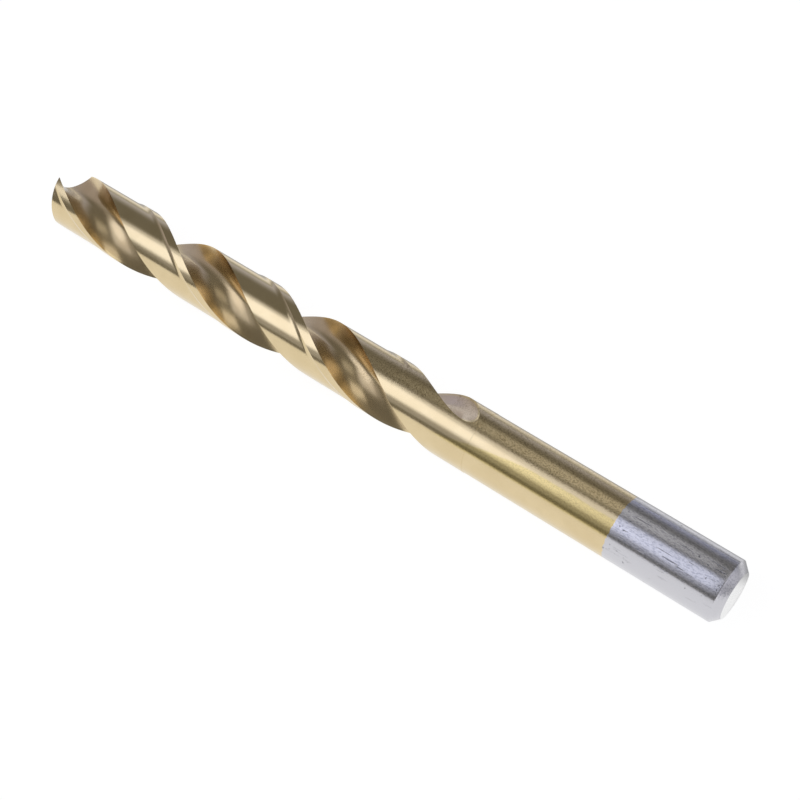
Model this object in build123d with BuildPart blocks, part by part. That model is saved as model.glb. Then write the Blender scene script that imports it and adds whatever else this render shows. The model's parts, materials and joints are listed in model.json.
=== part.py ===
"""A straight-shank twist drill of jobber length: one piece of high-speed steel.

The drill lies on its side with its axis along X: the point is towards -X, the shank end
towards +X, and its underside touches the plane Z = 0.  It is shaped in the order in
which a tool shop does it: a turned blank, a conically ground point, two helical flutes
that run out of the surface before the shank, and the body clearance that leaves a
narrow margin along each leading edge.

Depths are measured along the axis from the tip of the point towards the shank, and
azimuths about the axis, in degrees, from +Y towards +Z.
"""

import os
from math import asin, ceil, cos, degrees, pi, radians, sin, sqrt, tan

from build123d import *

os.makedirs("parts", exist_ok=True)

# --- Driving dimensions (mm and degrees) ---------------------------------------------
drill_diameter = 11.0  # across the margins, at the point
overall_length = 142.0  # tip to shank end
body_length = 95.0  # tip to the step down to the shank
flute_length = 94.0  # tip to the last trace of the flutes
clearance_length = 78.7  # tip to the end of the body clearance
back_taper = 0.05  # diameter lost along the body, so that the drill does not bind
shank_diameter = 10.88
shank_chamfer = 1.4  # at 45 degrees round the shank end

helix_angle = 31.6  # right hand, at the outside diameter
tip_azimuth = 75.0  # roll of the drill: where a leading edge would reach the tip plane

web_thickness = 1.8  # the core between the flutes, at the tip
web_growth = 0.9  # the core is this much thicker where the flutes begin to run out
heel_angle = 90.0  # from the leading edge forwards across the flute to the next heel
floor_reach = 2.6  # axis to where the floor of the flute turns up into the heel wall
floor_angle = 105.0  # from the leading edge forwards to that same place
runout_wheel_radius = 28.0  # wheel whose rim leaves the run-out of the flute
runout_angle = 50.0  # from the leading edge forwards to where the wheel backs out

margin_width = 1.2  # full-diameter strip, square to the leading edge
body_clearance = 0.22  # depth of the land behind the margin
clearance_step_angle = 3.0  # the step down from the margin is eased over this angle

point_angle = 118.0  # between the two lips
cone_half_angle = 34.0  # of the cone on which each flank of the point is ground
cone_vertex_offset = 7.0  # from the drill axis back to the cone's vertex, along the lip
cone_skew = 1.0  # the vertex stands ahead of the lip, which gives the lip its relief

# --- Worked-out dimensions -----------------------------------------------------------
radius = drill_diameter / 2
half_web = web_thickness / 2
lead = pi * drill_diameter / tan(radians(helix_angle))
lip_slope = 1 / tan(radians(point_angle / 2))  # depth lost for each mm of radius
lip_depth = sqrt(radius**2 - half_web**2) * lip_slope

axis_start = (-overall_length / 2, 0, radius)
drill_axis = Axis(axis_start, (1, 0, 0))

lead_in = 1.0  # cutters start this far ahead of the tip
proud = 1.0  # cutters stand out of the blank by this much
section_turn = 20.0  # twist between two sections of a helical cutter
runout_sections = 7


def polar(distance, angle):
    """A point of a section plane, from its distance to the axis and its angle."""
    return (distance * cos(radians(angle)), distance * sin(radians(angle)))


def section_plane(depth):
    """The plane square to the axis at a depth, turned with the helix: its x axis
    points at a leading edge, the land lies on its +y side and the flute on its -y."""
    azimuth = radians(tip_azimuth + 360 * depth / lead)
    centre = (axis_start[0] + depth, 0, radius)
    return Plane(centre, x_dir=(0, cos(azimuth), sin(azimuth)), z_dir=(1, 0, 0))


def helical_depths(end):
    """Even depths from ahead of the tip to the end, no more than section_turn apart."""
    steps = ceil((end + lead_in) / (lead * section_turn / 360))
    return [-lead_in + (end + lead_in) * i / steps for i in range(steps + 1)]


def body_radius(depth):
    """Distance of the margins from the axis at a depth."""
    return radius - back_taper / 2 * depth / body_length


# --- Blank: the body with its back taper, then the thinner shank ----------------------
with BuildPart(section_plane(-lead_in)) as blank:
    Cone(
        bottom_radius=body_radius(-lead_in),
        top_radius=body_radius(body_length),
        height=body_length + lead_in,
        align=(Align.CENTER, Align.CENTER, Align.MIN),
    )
    with Locations((0, 0, body_length + lead_in)):
        Cylinder(
            radius=shank_diameter / 2,
            height=overall_length - body_length,
            align=(Align.CENTER, Align.CENTER, Align.MIN),
        )
    shank_end = blank.faces().sort_by(Axis.X)[-1]
    chamfer(shank_end.edges(), shank_chamfer)

# --- Flank cone: the surface on which one flank of the point is ground ----------------
cone_tilt = point_angle / 2 - cone_half_angle
tilt = radians(cone_tilt)
spread = cos(radians(cone_half_angle)) ** 2
back = cone_vertex_offset
aside = half_web + cone_skew

# The cone passes through the tip, so its vertex stands this far ahead of it.
square_term = cos(tilt) ** 2 - spread
linear_term = back * sin(tilt) * cos(tilt)
constant_term = (back * sin(tilt)) ** 2 - spread * (back**2 + aside**2)
root = sqrt(linear_term**2 - square_term * constant_term)
vertex_height = (root - linear_term) / square_term

lip_plane = section_plane(lip_depth)
tip_plane = Plane(axis_start, x_dir=lip_plane.x_dir, z_dir=(1, 0, 0))
cone_vertex = tip_plane.from_local_coords(Vector(-back, -aside, -vertex_height))
cone_direction = tip_plane.x_dir * sin(tilt) + tip_plane.z_dir * cos(tilt)
cone_height = 1.2 * overall_length

with BuildPart(Plane(cone_vertex, z_dir=-cone_direction)) as flank_cone:
    Cone(
        bottom_radius=cone_height * tan(radians(cone_half_angle)),
        top_radius=0,
        height=cone_height,
        align=(Align.CENTER, Align.CENTER, Align.MAX),
    )


# --- Flute cutter: one helical groove that lifts out of the blank before the shank ----
def face_angle(distance):
    """Angle of the flute's cutting face, such that the cone of the point cuts it in a
    straight lip, half a web thickness ahead of the centre."""
    set_back = sqrt(radius**2 - half_web**2) - sqrt(distance**2 - half_web**2)
    twist = 360 / lead * lip_slope * set_back
    return twist - degrees(asin(half_web / distance) - asin(half_web / radius))


def wheel_travel(lift):
    """Depth over which the run-out wheel rises by a lift."""
    along_helix = sqrt(2 * runout_wheel_radius * lift - lift**2)
    return along_helix * cos(radians(helix_angle))


def wheel_lift(travel):
    """Rise of the run-out wheel after a depth of travel."""
    along_helix = travel / cos(radians(helix_angle))
    return runout_wheel_radius - sqrt(runout_wheel_radius**2 - along_helix**2)


flute_depth = radius - half_web - web_growth / 2
runout_start = flute_length - wheel_travel(flute_depth)
runout_end = runout_start + wheel_travel(flute_depth + proud / 2)
runout_step = (runout_end - runout_start) / runout_sections

face_points = [
    polar(distance, face_angle(distance))
    for distance in (
        half_web,
        1.5 * half_web,
        half_web + 0.35 * (radius - half_web),
        half_web + 0.70 * (radius - half_web),
        radius,
        radius + proud,
    )
]
web_direction = face_angle(half_web) + 90
face_direction = Vector(*face_points[-1]) - Vector(*face_points[-2])

flute_depths = helical_depths(runout_start)
flute_lifts = [web_growth / 2 * max(depth, 0) / runout_start for depth in flute_depths]
for step in range(1, runout_sections + 1):
    travel = step * runout_step
    flute_depths.append(runout_start + travel)
    flute_lifts.append(web_growth / 2 + wheel_lift(travel))

with BuildPart() as flute_cutter:
    for depth, lift in zip(flute_depths, flute_lifts):
        plane = section_plane(depth)
        lifted = plane.from_local_coords(polar(lift, -runout_angle))
        with BuildSketch(plane.shift_origin(lifted)):
            with BuildLine():
                face = Spline(
                    *face_points,
                    tangents=[polar(1, web_direction), tuple(face_direction)[:2]],
                )
                floor = TangentArc(
                    face @ 0,
                    polar(floor_reach, -floor_angle),
                    tangent=polar(-1, web_direction),
                )
                heel_wall = TangentArc(
                    floor @ 1, polar(radius, -heel_angle), tangent=floor % 1
                )
                heel_top = heel_wall @ 1 + proud * 1.3 * (heel_wall % 1)
                over_flute = polar(1.75 * radius, -heel_angle / 2)
                Polyline(heel_wall @ 1, heel_top, over_flute, face @ 1)
            make_face()
    loft()

# --- Clearance cutter: lowers the land from behind the margin to past the heel --------
margin_angle = degrees(margin_width / cos(radians(helix_angle)) / radius)
land_angle = 180 - heel_angle
past_heel = land_angle + 15
with BuildPart() as clearance_cutter:
    for depth in helical_depths(clearance_length):
        margin_radius = body_radius(depth)
        with BuildSketch(section_plane(depth)):
            with BuildLine():
                Polyline(
                    polar(margin_radius / 2, past_heel),
                    polar(margin_radius + proud, past_heel),
                    polar(1.9 * margin_radius, (margin_angle + past_heel) / 2),
                    polar(margin_radius + proud, margin_angle - clearance_step_angle),
                    polar(margin_radius, margin_angle),
                    polar(margin_radius / 2, margin_angle + 20 * clearance_step_angle),
                    close=True,
                )
            make_face()
    loft()
    with Locations(section_plane(-2 * lead_in)):
        Cone(
            bottom_radius=body_radius(-2 * lead_in) - body_clearance,
            top_radius=body_radius(body_length) - body_clearance,
            height=body_length + 2 * lead_in,
            align=(Align.CENTER, Align.CENTER, Align.MIN),
            mode=Mode.SUBTRACT,
        )

# --- The drill: ground on both sides alike --------------------------------------------
with BuildPart() as drill_bit:
    add(blank.part)
    for turn in (0, 180):
        add(flank_cone.part.rotate(drill_axis, turn), mode=Mode.INTERSECT)
    for cutter in (flute_cutter, clearance_cutter):
        for turn in (0, 180):
            add(cutter.part.rotate(drill_axis, turn), mode=Mode.SUBTRACT)

drill_bit.part.label = "drill_bit"
export_step(drill_bit.part, "parts/drill_bit.step")
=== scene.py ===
# %% [markdown]
# # A twist drill with a gold-coloured coating
#
# The part is a straight-shank twist drill, 11 mm across and 142 mm long, lying on its side.
# Its shape is already right in the CAD frame, but the CAD mesh is made of coarse loose
# triangles, and polished metal shows every one of them.  So the drill is modelled again here
# as a fine mesh in the same place, in the same order in which a tool shop makes a drill:
# a turned blank, a ground point, two milled flutes, and the relief behind the margins.
#
# The frame is loaded first.

# %% Start from the frame
from math import asin, atan2, ceil, cos, degrees, pi, radians, sin, sqrt, tan
import json

import bpy
from mathutils import Matrix, Vector


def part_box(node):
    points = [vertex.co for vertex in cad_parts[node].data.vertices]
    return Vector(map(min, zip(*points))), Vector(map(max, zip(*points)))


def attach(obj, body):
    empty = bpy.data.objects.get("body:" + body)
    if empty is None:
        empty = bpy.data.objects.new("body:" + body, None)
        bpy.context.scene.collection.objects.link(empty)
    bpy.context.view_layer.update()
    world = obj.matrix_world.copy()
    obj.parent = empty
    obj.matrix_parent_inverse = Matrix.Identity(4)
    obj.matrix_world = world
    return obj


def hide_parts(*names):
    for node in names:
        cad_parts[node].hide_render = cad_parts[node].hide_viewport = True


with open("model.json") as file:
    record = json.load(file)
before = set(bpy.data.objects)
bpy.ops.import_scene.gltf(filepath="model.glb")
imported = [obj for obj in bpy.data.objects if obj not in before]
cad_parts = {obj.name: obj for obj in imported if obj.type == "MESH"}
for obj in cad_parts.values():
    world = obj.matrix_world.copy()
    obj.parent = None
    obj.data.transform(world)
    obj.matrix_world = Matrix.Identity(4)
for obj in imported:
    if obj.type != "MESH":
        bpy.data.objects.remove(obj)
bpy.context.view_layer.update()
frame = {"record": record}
bpy.ops.object.select_all(action="DESELECT")

# %% [markdown]
# ## The sizes of the drill
#
# A drill is described by few sizes: its diameter and length, the helix of its flutes, the
# core (the web) that is left between them, and the angles of its point.  The length, the
# height of the axis and the shank come from the frame, and the rest are the sizes to which
# the tool is ground.  They could be measured on the CAD mesh, but a named size says what it
# is for.  Blender works in metres, so each size is given in millimetres times MM.

# %% Overall sizes
MM = 0.001
low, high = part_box("drill_bit")
shank_mount = frame["record"]["mounts"][0]

overall_length = high[0] - low[0]
tip_x = low[0]
shank_end_x = high[0]
axis_height = shank_mount["pos_m"][2]
radius = axis_height
shank_radius = shank_mount["dims"]["r_mm"] * MM
shank_chamfer = 1.4 * MM
body_length = 95.0 * MM
flute_length = 94.0 * MM
clearance_length = 78.7 * MM
back_taper = 0.05 * MM
print("length", round(overall_length / MM, 2), "mm, radius", round(radius / MM, 2), "mm")

# %% Flutes, margins and point
helix_angle = radians(31.6)
tip_azimuth = radians(75.0)
web_thickness = 1.8 * MM
web_growth = 0.9 * MM
heel_angle = 90.0
floor_reach = 2.6 * MM
floor_angle = 105.0
runout_wheel_radius = 28.0 * MM
runout_angle = 50.0
margin_width = 1.2 * MM
body_clearance = 0.22 * MM
clearance_step_angle = 10.0

point_angle = radians(118.0)
cone_half_angle = radians(34.0)
cone_vertex_offset = 7.0 * MM
cone_skew = 1.0 * MM

half_web = web_thickness / 2
lead = 2 * pi * radius / tan(helix_angle)
turn_per_metre = 2 * pi / lead
lip_slope = 1 / tan(point_angle / 2)
proud = 1.0 * MM
lead_in = 1.0 * MM
print("lead of the helix", round(lead / MM, 2), "mm")

# %% [markdown]
# ## Finding places on the drill
#
# Every cross-section of the fluted body is the same outline, turned a little further.  So a
# place on the drill is easiest to give by its depth behind the tip, its distance to the axis
# and its angle from the leading edge of the flute.  These helpers turn such a place into
# ordinary coordinates.  Angles of an outline are in degrees, and turns are in radians.


# %% Places round the axis
def polar(distance, angle):
    """A point of a cross-section, from its distance to the axis and its angle in degrees."""
    return Vector((distance * cos(radians(angle)), distance * sin(radians(angle))))


def direction(angle):
    """Unit vector across the axis at an angle about it, in radians."""
    return Vector((0, cos(angle), sin(angle)))


def helix_turn(depth):
    """How far the leading edge has turned about the axis at a depth behind the tip."""
    return tip_azimuth + turn_per_metre * depth


def place(point, depth, turn):
    """A point of a cross-section in the drill's own space."""
    reach = point.length
    angle = atan2(point.y, point.x) + turn
    return Vector((tip_x + depth, reach * cos(angle), axis_height + reach * sin(angle)))


def body_radius(depth):
    """The body narrows a little towards the shank, so that the drill doesn't bind."""
    return radius - back_taper / 2 * depth / body_length


print("radius at the end of the body", round(body_radius(body_length) / MM, 3), "mm")

# %% [markdown]
# ## The blank
#
# A drill starts as a turned bar: a chamfered shank, and a body that is a hair thicker.  A
# cylinder primitive would be plain from end to end, and a spun profile would give long thin
# faces.  Here a disc the size of the shank's end face is extruded and scaled step by step:
# out over the chamfer, along the shank, and up to the body.  Short steps keep the faces
# nearly square, so that they are cut cleanly later and shade evenly.


# %% Small tools for work in edit mode
def edit(piece):
    """Puts one object into edit mode with nothing else selected."""
    bpy.ops.object.select_all(action="DESELECT")
    piece.select_set(True)
    bpy.context.view_layer.objects.active = piece
    bpy.ops.object.mode_set(mode="EDIT")


def leave_edit():
    bpy.ops.object.mode_set(mode="OBJECT")


def extrude_along(distance):
    bpy.ops.mesh.extrude_region_move(TRANSFORM_OT_translate={"value": (distance, 0, 0)})


def scale_ring(factor, x):
    bpy.ops.transform.resize(value=(1, factor, factor), center_override=(x, 0, axis_height))


print("edit mode helpers are ready")

# %% The shank's end face
blank_segments = 360
end_face_radius = shank_radius - shank_chamfer

bpy.ops.object.select_all(action="DESELECT")
bpy.ops.mesh.primitive_circle_add(
    vertices=blank_segments,
    radius=end_face_radius,
    fill_type="NGON",
    location=(shank_end_x, 0, axis_height),
    rotation=(0, pi / 2, 0),
)
drill = bpy.context.object
drill.name = "twist_drill"
bpy.ops.object.transform_apply(location=True, rotation=True, scale=True)
print("end face", round(2 * end_face_radius / MM, 2), "mm across")

# %% Chamfer and shank
blank_step = 3.0 * MM
chamfer_x = shank_end_x - shank_chamfer
shoulder_x = tip_x + body_length

edit(drill)
bpy.ops.mesh.select_all(action="SELECT")
extrude_along(-shank_chamfer)
scale_ring(shank_radius / end_face_radius, chamfer_x)
shank_steps = ceil((chamfer_x - shoulder_x) / blank_step)
shank_stride = (chamfer_x - shoulder_x) / shank_steps
for _ in range(shank_steps):
    extrude_along(-shank_stride)
print("shank in", shank_steps, "steps")

# %% Shoulder and body, to a little past the tip
start_x = tip_x - lead_in
extrude_along(0)
scale_ring(body_radius(body_length) / shank_radius, shoulder_x)
body_steps = ceil((shoulder_x - start_x) / blank_step)
body_stride = (shoulder_x - start_x) / body_steps
x = shoulder_x
for _ in range(body_steps):
    before = body_radius(x - tip_x)
    extrude_along(-body_stride)
    x -= body_stride
    scale_ring(body_radius(x - tip_x) / before, x)
leave_edit()
print("body in", body_steps, "steps")

# %% [markdown]
# ## Rounded rims
#
# A real chamfer has no razor edges: tumbling and handling round its two rims, and each one
# then catches a thin line of light.  The Bevel modifier would round every edge of the drill,
# the cutting edges too, so only the edges of these two rings are picked, by their place, and
# bevelled in edit mode.

# %% Round the rims of the chamfer
rim_round = 0.07 * MM
near = 0.01 * MM


def on_rim(edge):
    """True for an edge that lies in the plane of the end face or of the chamfer's start."""
    xs = [drill.data.vertices[i].co.x for i in edge.vertices]
    return any(max(abs(x - rim_x) for x in xs) < near for rim_x in (shank_end_x, chamfer_x))


for item in (*drill.data.vertices, *drill.data.polygons):
    item.select = False
for edge in drill.data.edges:
    edge.select = on_rim(edge)
bpy.context.tool_settings.mesh_select_mode = (False, True, False)
bpy.ops.object.mode_set(mode="EDIT")
bpy.ops.mesh.bevel(offset=rim_round, segments=3, affect="EDGES")
bpy.context.tool_settings.mesh_select_mode = (True, False, False)
bpy.ops.mesh.select_all(action="SELECT")
bpy.ops.mesh.normals_make_consistent(inside=False)
leave_edit()
print("blank:", len(drill.data.polygons), "faces")

# %% [markdown]
# ## A cutter that follows the helix
#
# A flute is one cross-section that travels along the axis and turns as it goes.  A Screw
# modifier could do that, but it can't lift the outline out of the work at the end.  So the
# cutter is made by hand: its outline is filled, then extruded forwards, turned a few degrees
# and lifted, time after time.  With no window open, a rotation goes the other way round and
# needs its centre given, which turn_selected takes care of.

# %% Stations and outline
section_turn = radians(3.0)


def helix_stations(end):
    """Even depths from ahead of the tip to an end, a section turn apart at most."""
    steps = ceil((end + lead_in) * turn_per_metre / section_turn)
    return [-lead_in + (end + lead_in) * i / steps for i in range(steps + 1)]


def outline_object(name, outline, depth):
    """A filled outline, standing square to the axis at a depth."""
    bpy.ops.object.select_all(action="DESELECT")
    bpy.ops.mesh.primitive_circle_add(vertices=len(outline), radius=radius, fill_type="NGON")
    piece = bpy.context.object
    piece.name = name
    for vertex, point in zip(piece.data.vertices, outline):
        vertex.co = place(point, depth, helix_turn(depth))
    return piece


print("stations of a whole flute:", len(helix_stations(flute_length)))


# %% Sweep
def turn_selected(angle, x):
    bpy.ops.transform.rotate(
        value=-angle, orient_axis="X", center_override=(x, 0, axis_height)
    )


def sweep_outline(piece, depths, lifts, lift_angle):
    """Extrudes the outline from depth to depth, turning it with the helix and lifting it."""
    edit(piece)
    bpy.ops.mesh.select_all(action="SELECT")
    for before, after, low_lift, high_lift in zip(depths, depths[1:], lifts, lifts[1:]):
        extrude_along(after - before)
        turn_selected(turn_per_metre * (after - before), tip_x + after)
        rise = (high_lift - low_lift) * direction(helix_turn(after) + radians(lift_angle))
        bpy.ops.transform.translate(value=rise)
    bpy.ops.mesh.select_all(action="SELECT")
    bpy.ops.mesh.normals_make_consistent(inside=False)
    leave_edit()
    print(piece.name, len(piece.data.polygons), "faces")


print("a cutter turns at most", round(degrees(section_turn), 1), "degrees from step to step")

# %% [markdown]
# ## The outline of a flute
#
# The hollow of a flute has three stretches.  The cutting face runs from the core out to the
# leading edge, the floor curves round the core, and the heel wall rises to the back of the
# next land.  The face isn't straight: it is bent just so far that the ground point cuts it
# in a straight lip.  It could be drawn as a curve by eye, but the formula keeps the lips
# straight for any point angle.  The floor and the heel are arcs that run on smoothly.


# %% Cutting face
def face_angle(distance):
    """Angle of the cutting face at a distance from the axis."""
    set_back = sqrt(radius**2 - half_web**2) - sqrt(distance**2 - half_web**2)
    twist = degrees(turn_per_metre * lip_slope * set_back)
    return twist - degrees(asin(half_web / distance) - asin(half_web / radius))


face_steps = 26
crowding_at_web = 1.5
face = []
for i in range(face_steps + 1):
    share = (i / face_steps) ** crowding_at_web
    distance = half_web + (radius + proud - half_web) * share
    face.append(polar(distance, face_angle(distance)))
print("face from", round(face[0].length / MM, 2), "to", round(face[-1].length / MM, 2), "mm")


# %% Floor and heel
def turned(arm, angle):
    return Vector(
        (arm.x * cos(angle) - arm.y * sin(angle), arm.x * sin(angle) + arm.y * cos(angle))
    )


def tangent_arc(start, heading, end, steps):
    """Points of the arc that leaves a start along a heading, and its last heading."""
    heading = heading.normalized()
    chord = end - start
    normal = Vector((-heading.y, heading.x))
    across = chord.dot(normal)
    centre = start + normal * (chord.length_squared / (2 * across))
    sweep = 2 * atan2(across, chord.dot(heading))
    points = [centre + turned(start - centre, sweep * i / steps) for i in range(1, steps + 1)]
    return points, turned(heading, sweep)


floor_steps = 16
heel_steps = 14
heel_overrun = 1.3 * proud
cover_reach = 1.75 * radius

down_the_face = -polar(1, face_angle(half_web) + 90)
floor_end = polar(floor_reach, -floor_angle)
heel_edge = polar(radius, -heel_angle)
floor, floor_heading = tangent_arc(face[0], down_the_face, floor_end, floor_steps)
heel, heel_heading = tangent_arc(floor[-1], floor_heading, heel_edge, heel_steps)
heel_top = heel[-1] + heel_overrun * heel_heading
over_flute = polar(cover_reach, -heel_angle / 2)
flute_outline = [*reversed(face), *floor, *heel, heel_top, over_flute]
print("flute outline:", len(flute_outline), "points")

# %% [markdown]
# ## The flute cutter and its run-out
#
# Flutes are milled or ground with a big wheel.  While the wheel travels, the core grows a
# little thicker, and at the end the wheel simply stops.  It leaves its own round shape in
# the steel, a scoop that rises to the surface.  The cutter copies that: after the last even
# station its outline is lifted along the arc of the wheel's rim until it is clear.


# %% Flute cutter
def wheel_travel(lift):
    """Way along the axis in which the rim of the wheel rises by a lift."""
    return sqrt(2 * runout_wheel_radius * lift - lift**2) * cos(helix_angle)


def wheel_lift(travel):
    along_helix = travel / cos(helix_angle)
    return runout_wheel_radius - sqrt(runout_wheel_radius**2 - along_helix**2)


runout_steps = 40
web_lift = web_growth / 2
flute_depth = radius - half_web - web_lift
runout_start = flute_length - wheel_travel(flute_depth)
runout_end = runout_start + wheel_travel(flute_depth + proud / 2)

depths = helix_stations(runout_start)
lifts = [web_lift * max(depth, 0) / runout_start for depth in depths]
for step in range(1, runout_steps + 1):
    travel = (runout_end - runout_start) * step / runout_steps
    depths.append(runout_start + travel)
    lifts.append(web_lift + wheel_lift(travel))
flute_cutter = outline_object("flute_cutter", flute_outline, depths[0])
sweep_outline(flute_cutter, depths, lifts, -runout_angle)
print("run-out starts", round(runout_start / MM, 1), "mm behind the tip")

# %% [markdown]
# ## The clearance cutter
#
# Only a narrow strip along each leading edge, the margin, touches the wall of the hole.
# Behind it the land is ground down by a fifth of a millimetre, so that it doesn't rub.  The
# step between the two is eased by a curve, and light draws a soft line along it.  A groove
# could be bevelled into the finished drill, but a second cutter on the same helix is surer.

# %% Clearance cutter
land_steps = 48
step_points = 10
heel_overlap = 15.0
clearance_cover = 1.9 * radius

margin_angle = degrees(margin_width / cos(helix_angle) / radius)
step_end = margin_angle + clearance_step_angle
past_heel = 180 - heel_angle + heel_overlap
land_radius = radius - body_clearance
land = [
    polar(land_radius, step_end + (past_heel - step_end) * i / land_steps)
    for i in range(land_steps + 1)
]
cover = [
    polar(radius + proud, past_heel),
    polar(clearance_cover, (step_end + past_heel) / 2),
    polar(radius + proud, margin_angle - clearance_step_angle / 3),
]
eased_step = []
for i in range(step_points):
    share = 1 - i / step_points
    rise = body_clearance * share**2
    eased_step.append(polar(land_radius + rise, step_end - clearance_step_angle * share))

depths = helix_stations(clearance_length)
clearance_cutter = outline_object("clearance_cutter", land + cover + eased_step, depths[0])
sweep_outline(clearance_cutter, depths, [0] * len(depths), 0)
print("margin", round(margin_angle, 1), "degrees wide")

# %% [markdown]
# ## The cones of the point
#
# The two flanks of the point aren't one cone about the drill's axis.  A grinding machine
# swings the drill about a tilted axis of its own, so each flank lies on a tilted cone, and
# falls away behind its lip.  Without that relief the lip couldn't cut.  Two planes would be
# easier to model, but a real flank is curved.  The cone's vertex is worked out so that the
# two flanks meet at the tip.

# %% Place and tilt of the cone
cone_tilt = point_angle / 2 - cone_half_angle
spread = cos(cone_half_angle) ** 2
aside = half_web + cone_skew
square_term = cos(cone_tilt) ** 2 - spread
linear_term = cone_vertex_offset * sin(cone_tilt) * cos(cone_tilt)
constant_term = (cone_vertex_offset * sin(cone_tilt)) ** 2 - spread * (
    cone_vertex_offset**2 + aside**2
)
discriminant = linear_term**2 - square_term * constant_term
vertex_height = (sqrt(discriminant) - linear_term) / square_term

lip_depth = sqrt(radius**2 - half_web**2) * lip_slope
lip_turn = helix_turn(lip_depth)
along_lip = direction(lip_turn)
across_lip = direction(lip_turn + pi / 2)
along_axis = Vector((1, 0, 0))
cone_vertex = (
    Vector((tip_x, 0, axis_height))
    - cone_vertex_offset * along_lip
    - aside * across_lip
    - vertex_height * along_axis
)
cone_axis = along_lip * sin(cone_tilt) + along_axis * cos(cone_tilt)
print("lip depth", round(lip_depth / MM, 2), "mm")

# %% Cone
cone_height = 1.2 * overall_length
cone_segments = 720

bpy.ops.object.select_all(action="DESELECT")
bpy.ops.mesh.primitive_cone_add(
    vertices=cone_segments,
    radius1=0,
    radius2=cone_height * tan(cone_half_angle),
    depth=cone_height,
)
flank_cone = bpy.context.object
flank_cone.name = "flank_cone"
flank_cone.matrix_world = Matrix.Translation(
    cone_vertex + cone_axis * cone_height / 2
) @ cone_axis.to_track_quat("Z", "Y").to_matrix().to_4x4()
bpy.ops.object.transform_apply(location=True, rotation=True, scale=True)
print("cone tilted by", round(degrees(cone_tilt), 1), "degrees")

# %% [markdown]
# ## Grinding
#
# Each tool is used once, and then a copy of it is turned by half a turn about the axis and
# used on the other side, just as an indexing head does it.  Boolean modifiers do the
# cutting: what lies inside both cones stays, and what lies inside a cutter goes.  The
# manifold solver is quick and exact here, because the blank and the tools are all closed.


# %% The same tool on both sides
def half_turn(tool):
    """A copy of the tool on the other side of the drill."""
    bpy.ops.object.select_all(action="DESELECT")
    tool.select_set(True)
    bpy.context.view_layer.objects.active = tool
    bpy.ops.object.duplicate()
    other = bpy.context.object
    edit(other)
    bpy.ops.mesh.select_all(action="SELECT")
    turn_selected(pi, 0)
    leave_edit()
    return other


def grind(tool, operation):
    bpy.ops.object.select_all(action="DESELECT")
    drill.select_set(True)
    bpy.context.view_layer.objects.active = drill
    cut = drill.modifiers.new("cut", "BOOLEAN")
    cut.operation = operation
    cut.object = tool
    cut.solver = "MANIFOLD"
    bpy.ops.object.modifier_apply(modifier=cut.name)
    print(tool.name, operation, len(drill.data.polygons), "faces")
    bpy.data.objects.remove(tool)


for tool, operation in (
    (flank_cone, "INTERSECT"),
    (flute_cutter, "DIFFERENCE"),
    (clearance_cutter, "DIFFERENCE"),
):
    other = half_turn(tool)
    grind(tool, operation)
    grind(other, operation)

# %% [markdown]
# ## Closing and shading
#
# The cuts leave a few points almost on top of each other.  They are merged first, and only
# then are the normals turned outwards.  The drill must shade smoothly round its flutes and
# yet keep crisp lips and margins, so edges sharper than a few degrees stay sharp.

# %% Merge and shade
merge_distance = 0.002 * MM
crisp_from = radians(22)

edit(drill)
bpy.ops.mesh.select_all(action="SELECT")
bpy.ops.mesh.remove_doubles(threshold=merge_distance)
bpy.ops.mesh.normals_make_consistent(inside=False)
leave_edit()
bpy.ops.object.shade_smooth_by_angle(angle=crisp_from)
print("drill:", len(drill.data.polygons), "faces", len(drill.data.vertices), "vertices")
for axis in range(3):
    places = [vertex.co[axis] / MM for vertex in drill.data.vertices]
    print("axis", axis, "from", round(min(places), 3), "to", round(max(places), 3), "mm")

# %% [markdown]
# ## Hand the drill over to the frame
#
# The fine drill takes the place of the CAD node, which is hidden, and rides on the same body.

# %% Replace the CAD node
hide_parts("drill_bit")
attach(drill, "root")
print(drill.name, "replaces drill_bit")

# %% [markdown]
# ## Shader maths
#
# A material is a net of nodes.  Adding and linking them one by one hides the idea behind
# them, so a small class wraps one output socket.  Sums and products of such sockets are then
# written as in Python and add the Math nodes by themselves.  Colours go through Mix nodes,
# because a Math node would turn them grey.


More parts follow.
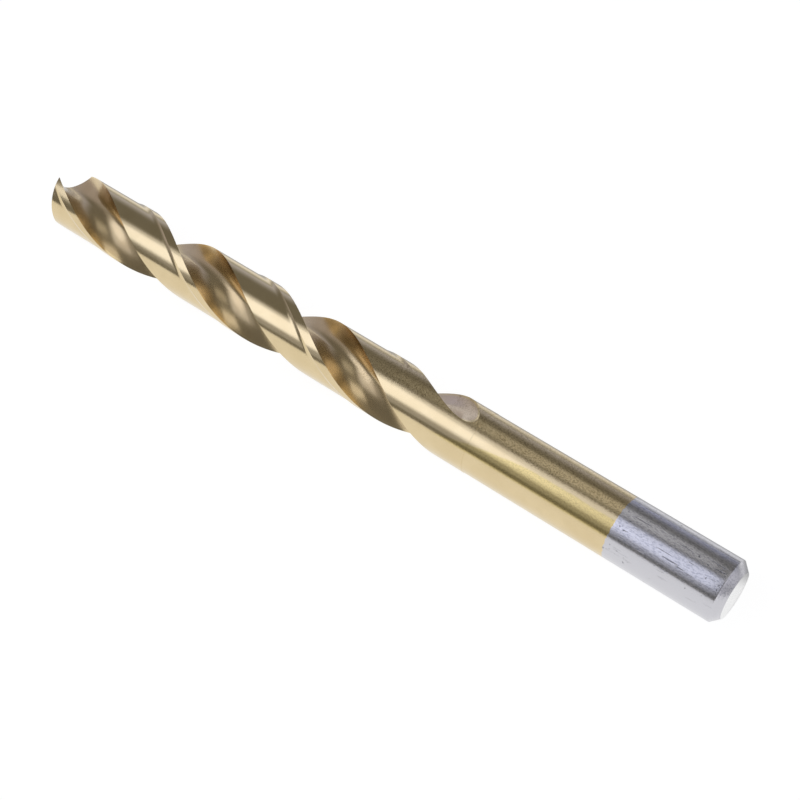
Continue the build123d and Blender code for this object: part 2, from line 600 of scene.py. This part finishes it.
# %% A socket that can be reckoned with
class SocketMath:
    """Wraps one socket of a node tree, so that an expression on it adds the Math nodes."""

    def __init__(self, tree, socket=None):
        self.tree = tree
        self.socket = socket

    def node(self, kind, settings=None, inputs=None, output=0):
        """Adds any node: its settings first, then the values or links of its sockets."""
        new = self.tree.nodes.new(kind)
        for name, value in (settings or {}).items():
            setattr(new, name, value)
        for name, value in (inputs or {}).items():
            if isinstance(value, SocketMath):
                self.tree.links.new(value.socket, new.inputs[name])
            else:
                new.inputs[name].default_value = value
        return SocketMath(self.tree, new.outputs[output])

    def sibling(self, output):
        """Another output of the same node."""
        return SocketMath(self.tree, self.socket.node.outputs[output])

    def feed(self, node, name):
        """Links this to a socket of a node that is there already."""
        self.tree.links.new(self.socket, node.inputs[name])

    def maths(self, operation, first, second):
        return self.node("ShaderNodeMath", {"operation": operation}, {0: first, 1: second})

    def __add__(self, other):
        return self.maths("ADD", self, other)

    def __radd__(self, other):
        return self.maths("ADD", other, self)

    def __sub__(self, other):
        return self.maths("SUBTRACT", self, other)

    def __rsub__(self, other):
        return self.maths("SUBTRACT", other, self)

    def __mul__(self, other):
        return self.maths("MULTIPLY", self, other)

    def __rmul__(self, other):
        return self.maths("MULTIPLY", other, self)

    def __pow__(self, other):
        return self.maths("POWER", self, other)

    def __rpow__(self, other):
        return self.maths("POWER", other, self)

    def larger(self, other):
        return self.maths("MAXIMUM", self, other)

    def ramp(self, low, high):
        """0 below low, 1 above high, and a smooth rise between."""
        return self.node(
            "ShaderNodeMapRange",
            {"interpolation_type": "SMOOTHSTEP"},
            {"Value": self, "From Min": low, "From Max": high},
        )

    def mix(self, dark, light):
        """A colour from dark to light, with this as the factor.  A Mix node for colours has
        its factor and its two colours at sockets 0, 6 and 7, and its result at 2."""
        colours = [c if isinstance(c, SocketMath) else (*c, 1.0) for c in (dark, light)]
        return self.node(
            "ShaderNodeMix",
            {"data_type": "RGBA"},
            {0: self, 6: colours[0], 7: colours[1]},
            output=2,
        )


print("shader maths is ready")

# %% [markdown]
# ## Where the finish changes
#
# One material covers the whole drill, since it is one piece of steel.  Its finish changes
# from place to place: the flutes are duller than the lands, and their gold is darker as painted
# shade; the crown of the shank is speckled; a stretch of the shank gets a deeper gold as a
# painted reflection; and the last 20 mm are bare.  Separate materials would need hard borders
# between faces.  Instead, each zone is a mask from 0 to 1, worked out from the object
# coordinates, and soft noise keeps the borders from being ruled.

# %% Coordinates
coated = bpy.data.materials.new("coated_steel")
coated.use_nodes = True
shader = coated.node_tree.nodes["Principled BSDF"]
coords = SocketMath(coated.node_tree).node("ShaderNodeTexCoord", output="Object")
along = coords.node("ShaderNodeSeparateXYZ", inputs={"Vector": coords})
y_across = along.sibling("Y")
z_up = along.sibling("Z") - axis_height
distance = (y_across * y_across + z_up * z_up) ** 0.5


def noise(vector, per_metre, detail=3.0, roughness=0.5):
    """Soft random patches from 0 to 1, so many to a metre."""
    return vector.node(
        "ShaderNodeTexNoise",
        inputs={
            "Vector": vector,
            "Scale": per_metre,
            "Detail": detail,
            "Roughness": roughness,
        },
    )


def drawn_out(share):
    """The coordinates pressed together along the axis, which draws a pattern out there."""
    return coords.node("ShaderNodeMapping", inputs={"Vector": coords, "Scale": (share, 1, 1)})


cloud_scale = 260.0
cloudy = noise(coords, cloud_scale)
print("coordinates on", coated.name)

# %% Flutes and crown
flute_rim = 0.90 * radius
land_start = 0.955 * radius
lands_fade = (tip_x + 62 * MM, tip_x + 80 * MM)
shank_starts = (tip_x + 82 * MM, tip_x + 108 * MM)
upper_half = (0.0, 0.1 * radius)
crown_edge = -0.24 * radius
soft_edge = 0.07 * radius
wander = 0.9 * MM

in_flute = 1 - distance.ramp(flute_rim, land_start)
past_lands = along.ramp(*lands_fade)
on_shank = along.ramp(*shank_starts)
wandering = (cloudy - 0.5) * wander
crown = (y_across - crown_edge + wandering).ramp(-soft_edge, soft_edge)
satin = crown * z_up.ramp(*upper_half) * past_lands
print("the crown starts", round(-crown_edge / MM, 2), "mm in front of the axis")

# %% Band of painted reflection and top side
# From here on, the shank's gold is tinted deeper along a band where the main band of light
# crosses it: a painted reflection.
reflection_band_from = 0.87
reflection_band_widens = 0.50
reflection_band_wander = 0.6
reflection_band_height = (0.56 * radius, 0.64 * radius)
top_height = (0.58 * radius, 0.66 * radius)
sharper_edge = 0.04 * radius

reflection_band_edge = (on_shank * reflection_band_widens - reflection_band_from) * radius
painted_reflection = reflection_band_edge - y_across + wandering * reflection_band_wander
painted_reflection = painted_reflection.ramp(-sharper_edge, sharper_edge)
painted_reflection_band = painted_reflection * z_up.ramp(*reflection_band_height) * past_lands
top_side = z_up.ramp(*top_height)
print("the rubbed stretch starts", round(reflection_band_from * radius / MM, 2), "mm in front of the axis")

# %% The edge of the coating
coating_end_x = tip_x + 121.7 * MM
fading = 0.06 * MM
raggedness = 0.55 * MM
edge_scale = 1500.0

edge_x = along + (noise(coords, edge_scale) - 0.5) * raggedness
bare = edge_x.ramp(coating_end_x - fading, coating_end_x + fading)
print("bare steel over the last", round((shank_end_x - coating_end_x) / MM, 1), "mm")

# %% [markdown]
# ## The coating
#
# Titanium nitride is a hard ceramic layer a few thousandths of a millimetre thick, and it
# reflects like gold.  So the shader is a metal with a gold base colour.  The gold is a touch
# darker in the flutes, as painted shade in their hollows; a mauve grey in the run-outs, as a
# painted reflection of the cool room beyond the point; and deeper on a stretch of the shank,
# as a painted reflection of the main band of light there.  The dark specks on the crown could
# be painted on a texture, but fine noise needs no unwrapping and stays sharp at any size.

# %% Colours of the coating
bright_golds = ((0.765, 0.61, 0.35), (0.80, 0.645, 0.38))
# The flute golds are darker than the land golds as painted shade in the hollows of the flutes.
flute_golds_painted_shade = ((0.66, 0.50, 0.275), (0.72, 0.56, 0.32))
# The mauve grey of the run-outs is a painted reflection of the cool lavender room beyond the
# point.
runout_mauve_reflection = (0.72, 0.58, 0.44)
# A deeper gold for the band on the shank, painted as the reflection of the main band of light
# there.
deep_gold_reflection = (0.74, 0.58, 0.235)
speck_brown = (0.30, 0.21, 0.085)

cloud_limits = (0.35, 0.65)
runout_starts = (tip_x + 80 * MM, tip_x + 88 * MM)
reflection_band_share = 0.9
clouds = cloudy.ramp(*cloud_limits)
outside_gold = (painted_reflection_band * reflection_band_share).mix(clouds.mix(*bright_golds), deep_gold_reflection)
inside_gold = along.ramp(*runout_starts).mix(clouds.mix(*flute_golds_painted_shade), runout_mauve_reflection)
coating = in_flute.mix(outside_gold, inside_gold)
print("golds are mixed for the lands, the flutes and the rubbed stretch")

# %% Specks
speck_scale = 4600.0
speck_roughness = 0.7
speck_limits = (0.40, 0.52)
speck_share = 0.62
specks_in_reflection_band = 0.5

specks = 1 - noise(coords, speck_scale, roughness=speck_roughness).ramp(*speck_limits)
speck_cover = (satin + painted_reflection_band * specks_in_reflection_band) * specks * speck_share
coating = speck_cover.mix(coating, speck_brown)
print("specks cover up to", round(100 * speck_share), "percent of the gold")

# %% [markdown]
# ## Bare steel
#
# The end of the shank was held in the rack while the drill was coated, so it is plain grey
# steel.  Its upper side is mottled and has a few scratches along the axis and single pits.
# The marks are noise again.  Noise drawn out along the axis and cut off high gives short
# scratches, and round noise cut off higher still gives pits.  The face at the very end is
# ground, and its colour is painted almost white, a painted reflection of the white table.

# %% Marks in the steel
mottle_scale = 4500.0
mottle_limits = (0.38, 0.54)
scratch_scale = 3400.0
scratch_limits = (0.68, 0.72)
pit_scale = 1500.0
pit_limits = (0.735, 0.76)
mottle_press = 0.4
scratch_press = 0.05

mottle = noise(drawn_out(mottle_press), mottle_scale, detail=4.0, roughness=0.65)
scratches = noise(drawn_out(scratch_press), scratch_scale, detail=2.0)
scratches = scratches.ramp(*scratch_limits)
pits = noise(coords, pit_scale, detail=1.0).ramp(*pit_limits)
print("a scratch is about", round(1 / scratch_press), "times as long as it is wide")

# %% Colours of the steel
light_steel = (0.72, 0.71, 0.75)
dull_steel = (0.52, 0.52, 0.57)
even_steel = (0.66, 0.655, 0.69)
scratch_grey = (0.16, 0.16, 0.19)
pit_grey = (0.12, 0.12, 0.14)
# The end face is painted almost white, a painted reflection of the white table.
end_face_painted_white = (0.97, 0.97, 0.97)
end_face_starts = (shank_end_x - 0.03 * MM, shank_end_x - 0.01 * MM)
scratch_darkness = 0.75
pit_darkness = 0.8

steel = mottle.ramp(*mottle_limits).mix(dull_steel, light_steel)
steel = (scratches * scratch_darkness).mix(steel, scratch_grey)
steel = top_side.mix(even_steel, steel)
steel = (pits * pit_darkness).mix(steel, pit_grey)
steel = along.ramp(*end_face_starts).mix(steel, end_face_painted_white)
bare.mix(coating, steel).feed(shader, "Base Color")
print("base colour is linked")

# %% [markdown]
# ## Gloss and grain
#
# Roughness says how blurred a reflection is: little on the ground lands, more in the flutes.
# A Bump node then shades the surface as if it had a fine grain, some hundredths of a
# millimetre deep, which breaks up the reflections on the satin crown and the mottled steel.
# Real displacement would need millions of faces.  A thin clear coat adds the soft second
# reflection that a smooth hard layer has.

# %% Gloss
land_roughness = 0.17
rougher_in_flute = 0.08
rougher_on_crown = 0.03
rougher_on_shank = 0.02
coat_weight = 0.6
coat_ior = 1.5
coat_roughness = 0.15

roughness = land_roughness + rougher_in_flute * in_flute
roughness = roughness + rougher_on_crown * satin + rougher_on_shank * on_shank
roughness.feed(shader, "Roughness")
shader.inputs["Metallic"].default_value = 1.0
shader.inputs["Coat Weight"].default_value = coat_weight
shader.inputs["Coat IOR"].default_value = coat_ior
shader.inputs["Coat Roughness"].default_value = coat_roughness
print("roughness from", land_roughness, "on the lands")

# %% Grain
bump_strength = 0.8
bump_depth = 0.045 * MM
grain_scale = 4200.0
grain_everywhere = 0.03
grain_on_crown = 0.30
grain_in_reflection_band = 0.15
grain_on_steel = 0.02
grain_on_top = 0.16
scratch_depth = 0.5

grain = noise(coords, grain_scale, roughness=0.65)
coating_grain = grain * (grain_everywhere + grain_on_crown * satin + grain_in_reflection_band * painted_reflection_band)
steel_grain = mottle * bare * (grain_on_steel + grain_on_top * top_side)
dents = (scratches * scratch_depth + pits) * bare
height = coating_grain + steel_grain - dents
bump = height.node(
    "ShaderNodeBump",
    inputs={"Strength": bump_strength, "Distance": bump_depth, "Height": height},
)
bump.feed(shader, "Normal")
drill.data.materials.clear()
drill.data.materials.append(coated)
print(coated.name, "has", len(coated.node_tree.nodes), "nodes")

# %% [markdown]
# ## The camera
#
# The drill is seen from above, in front of its shank, with the point far away at the upper
# left.  A long lens at 29 cm shows it whole and lets the far end shrink only a little.
# The camera could be aimed by a Track To constraint, but that can't roll it, so it gets the
# directions of its right side and of its line of sight.

# %% Camera
camera_position = Vector((112.80, -114.55, 238.88)) * MM
camera_right = Vector((0.79462, 0.60397, -0.06165)).normalized()
camera_forward = Vector((-0.37362, 0.40637, -0.83383)).normalized()
camera_up = camera_right.cross(camera_forward)
lens = 76.83
sensor_width = 36.0
nearest_seen = 5 * MM

bpy.ops.object.select_all(action="DESELECT")
bpy.ops.object.camera_add()
camera = bpy.context.object
turn = Matrix((camera_right, camera_up, -camera_forward)).transposed()
camera.matrix_world = Matrix.Translation(camera_position) @ turn.to_4x4()
camera.data.lens = lens
camera.data.sensor_width = sensor_width
camera.data.clip_start = nearest_seen
bpy.context.scene.camera = camera
print("camera", round(camera_position.length / MM), "mm from the middle of the drill")

# %% [markdown]
# ## The floor
#
# The drill lies on a plain white table, whose colour runs into the background.  A brighter
# lamp would bleach the drill as well, so the table glows by itself: where the camera looks
# straight at it, and a little less in reflections.  Polished metal then mirrors a white
# table all round, as in a light tent.  Right behind the drill the mirrored table is darker,
# since the drill stands in its own light there, and it dims again farther back.  The diffuse
# part keeps the drill's faint shadow.

# %% Floor
floor_size = 6.0
floor_gap = 0.01 * MM

bpy.ops.object.select_all(action="DESELECT")
bpy.ops.mesh.primitive_plane_add(size=floor_size, location=(0, 0, -floor_gap))
stage_floor = bpy.context.object
stage_floor.name = "pale_floor"
bpy.ops.object.transform_apply(location=True, rotation=True, scale=True)
print("floor", floor_size, "m across")

# %% White table
seen_glow = 0.93
mirrored_glow = 0.82
shade_starts = (4 * MM, 8 * MM)
shade_ends = (12 * MM, 26 * MM)
shade_loss = 0.48
far_starts = (20 * MM, 80 * MM)
distance_loss = 0.52
paper_white = (0.8, 0.8, 0.8)
glowing_white = (0.2, 0.2, 0.2)

white = bpy.data.materials.new("white_table")
white.use_nodes = True
table_tree = white.node_tree
table_tree.nodes.remove(table_tree.nodes["Principled BSDF"])
light_path = SocketMath(table_tree).node("ShaderNodeLightPath", output="Is Camera Ray")
seen = light_path.larger(light_path.sibling("Is Transmission Ray"))
mirrored = light_path.sibling("Is Glossy Ray") * (1 - seen)
table_coords = light_path.node("ShaderNodeTexCoord", output="Object")
behind = table_coords.node(
    "ShaderNodeSeparateXYZ", inputs={"Vector": table_coords}, output="Y"
)
in_shade = behind.ramp(*shade_starts) * (1 - behind.ramp(*shade_ends))
far_back = behind.ramp(*far_starts)
mirror_level = mirrored_glow - shade_loss * in_shade - distance_loss * far_back
glow = seen * seen_glow + mirrored * mirror_level

emission = glow.node("ShaderNodeEmission", inputs={"Color": glow})
paper = seen.larger(mirrored).mix(paper_white, glowing_white)
diffuse = glow.node("ShaderNodeBsdfDiffuse", inputs={"Color": paper})
both = glow.node("ShaderNodeAddShader", inputs={0: emission, 1: diffuse})
both.feed(table_tree.nodes["Material Output"], "Surface")
stage_floor.data.materials.append(white)
print(white.name, "has", len(table_tree.nodes), "nodes")

# %% [markdown]
# ## A reflector card
#
# The lower half of a shiny bar mirrors whatever stands in front of it.  A low white card
# there gives the drill its broad pale band with a crisp upper edge.  A lamp would do the
# same, but the card shares the table's material and throws no light of its own on the work.

# %% Card in front of the drill
card_place = (0, -0.5, 0.065)
card_width = 3.0
card_height = 0.13

bpy.ops.object.select_all(action="DESELECT")
bpy.ops.mesh.primitive_plane_add(size=1, location=card_place, rotation=(-pi / 2, 0, 0))
card = bpy.context.object
card.name = "reflector_card"
card.scale = (card_width, card_height, 1)
bpy.ops.object.transform_apply(location=True, rotation=True, scale=True)
card.data.materials.append(white)
print("card", card_width, "m wide and", card_height, "m high")

# %% [markdown]
# ## The room
#
# Metal has no colour of its own to show, only what it mirrors, so the room matters as much
# as the lamps.  The room is a dim warm grey, and its three walls differ: the one beyond the
# point is a pale lavender, the one behind the drill glows near the table, and the one beyond
# the shank lights the chamfer.  An image of a real room would bring a busy pattern, and
# smooth ramps keep the reflections clean.

# %% Room
dim_grey = (0.165, 0.16, 0.15)
lavender = (0.42, 0.405, 0.47)
table_haze = (0.48, 0.50, 0.64)
shank_wall = (0.62, 0.62, 0.66)

world = bpy.data.worlds.new("dim_room")
world.use_nodes = True
bpy.context.scene.world = world
background = world.node_tree.nodes["Background"]
look = SocketMath(world.node_tree).node("ShaderNodeTexCoord", output="Generated")
sideways = look.node("ShaderNodeSeparateXYZ", inputs={"Vector": look})
backwards = sideways.sibling("Y")
upwards = sideways.sibling("Z")
print("background of", world.name, "is ready")

# %% Walls
point_wall_starts = (0.68, 0.86)
shank_wall_starts = (0.62, 0.80)
shank_wall_fades = (0.93, 0.985)
shank_wall_loss = 0.6
haze_ends_above = (0.0, 0.50)
haze_starts_behind = (0.05, 0.35)
haze_fades_to_side = (-0.30, -0.12)
haze_loss = 0.5

past_point = (0 - sideways).ramp(*point_wall_starts)
past_shank = sideways.ramp(*shank_wall_starts)
past_shank = past_shank * (1 - sideways.ramp(*shank_wall_fades) * shank_wall_loss)
low_behind = (1 - upwards.ramp(*haze_ends_above)) * backwards.ramp(*haze_starts_behind)
low_behind = low_behind * (1 - sideways.ramp(*haze_fades_to_side) * haze_loss)
room = past_point.mix(dim_grey, lavender)
room = low_behind.mix(room, table_haze)
room = past_shank.mix(room, shank_wall)
room.feed(background, "Color")
background.inputs["Strength"].default_value = 1.0
print("the walls of", world.name, "are painted")

# %% [markdown]
# ## The lamps
#
# A softbox shows on polished metal as a bright band, and its edge as the edge of that band.
# Three boxes of falling size, one in front of another, give the main band a bright core
# that fades on both sides, as one big diffuser with a lamp behind it does.  A box over the
# back of the shank draws the second, weaker band, and one beyond the shank end lights the
# flutes from there.  Each lamp's power follows from its area, so that its glow is given as
# a level at which 1 is as bright as white paper.

# %% Softbox
lamp_reach = 0.7
lit_place = Vector((0, 0, 6 * MM))


def sky_direction(across_angle, along):
    """Direction of a lamp: its angle about the drill's axis from +Y over the top, in
    degrees, and how far it leans along the axis, from -1 to 1."""
    return Vector((along, 0, 0)) + sqrt(1 - along**2) * direction(radians(across_angle))


def softbox(name, facing, size, glow, nearer=1.0, offset=(0, 0), tint=(1, 1, 1), round_box=False):
    """An area lamp with an even glow; size and offset are shares of its distance."""
    bpy.ops.object.select_all(action="DESELECT")
    bpy.ops.object.light_add(type="AREA")
    lamp = bpy.context.object
    lamp.name = name
    reach = nearer * lamp_reach
    lamp.data.shape = "ELLIPSE" if round_box else "RECTANGLE"
    lamp.data.size = size[0] * reach
    lamp.data.size_y = size[1] * reach
    area = size[0] * size[1] * reach**2 * (pi / 4 if round_box else 1)
    lamp.data.energy = glow * area * pi
    lamp.data.color = tint
    lamp.visible_camera = False
    back = facing.normalized()
    side = (Vector((1, 0, 0)) - back.x * back).normalized()
    top = back.cross(side)
    turn = Matrix((side, top, back)).transposed()
    centre = lit_place + reach * (back + offset[0] * side + offset[1] * top)
    lamp.matrix_world = Matrix.Translation(centre) @ turn.to_4x4()
    print(name, "glows at", glow, "and gives", round(lamp.data.energy, 2), "W")


print("the lamps stand", lamp_reach, "m from the drill")

# %% Lamps
cool_white = (0.94, 0.985, 1.17)
over_front = sky_direction(114, -0.38)
over_back = sky_direction(62, -0.19)
past_shank_end = sky_direction(76, 0.29)

softbox("main_softbox", over_front, (0.80, 1.26), 0.24, offset=(0.09, -0.12), tint=cool_white)
softbox(
    "main_middle", over_front, (0.80, 0.80), 0.42, nearer=0.99, offset=(0.09, 0), tint=cool_white
)
softbox(
    "main_core", over_front, (0.60, 0.60), 0.52, nearer=0.98, offset=(-0.10, -0.03),
    tint=cool_white, round_box=True,
)
softbox("top_softbox", over_back, (0.24, 0.56), 0.40)
softbox("shank_softbox", past_shank_end, (0.24, 0.62), 0.95)

# %% [markdown]
# ## Colour management
#
# Colours are shown as they are, with the Standard view.

# %% Colour management
bpy.context.scene.view_settings.view_transform = "Standard"
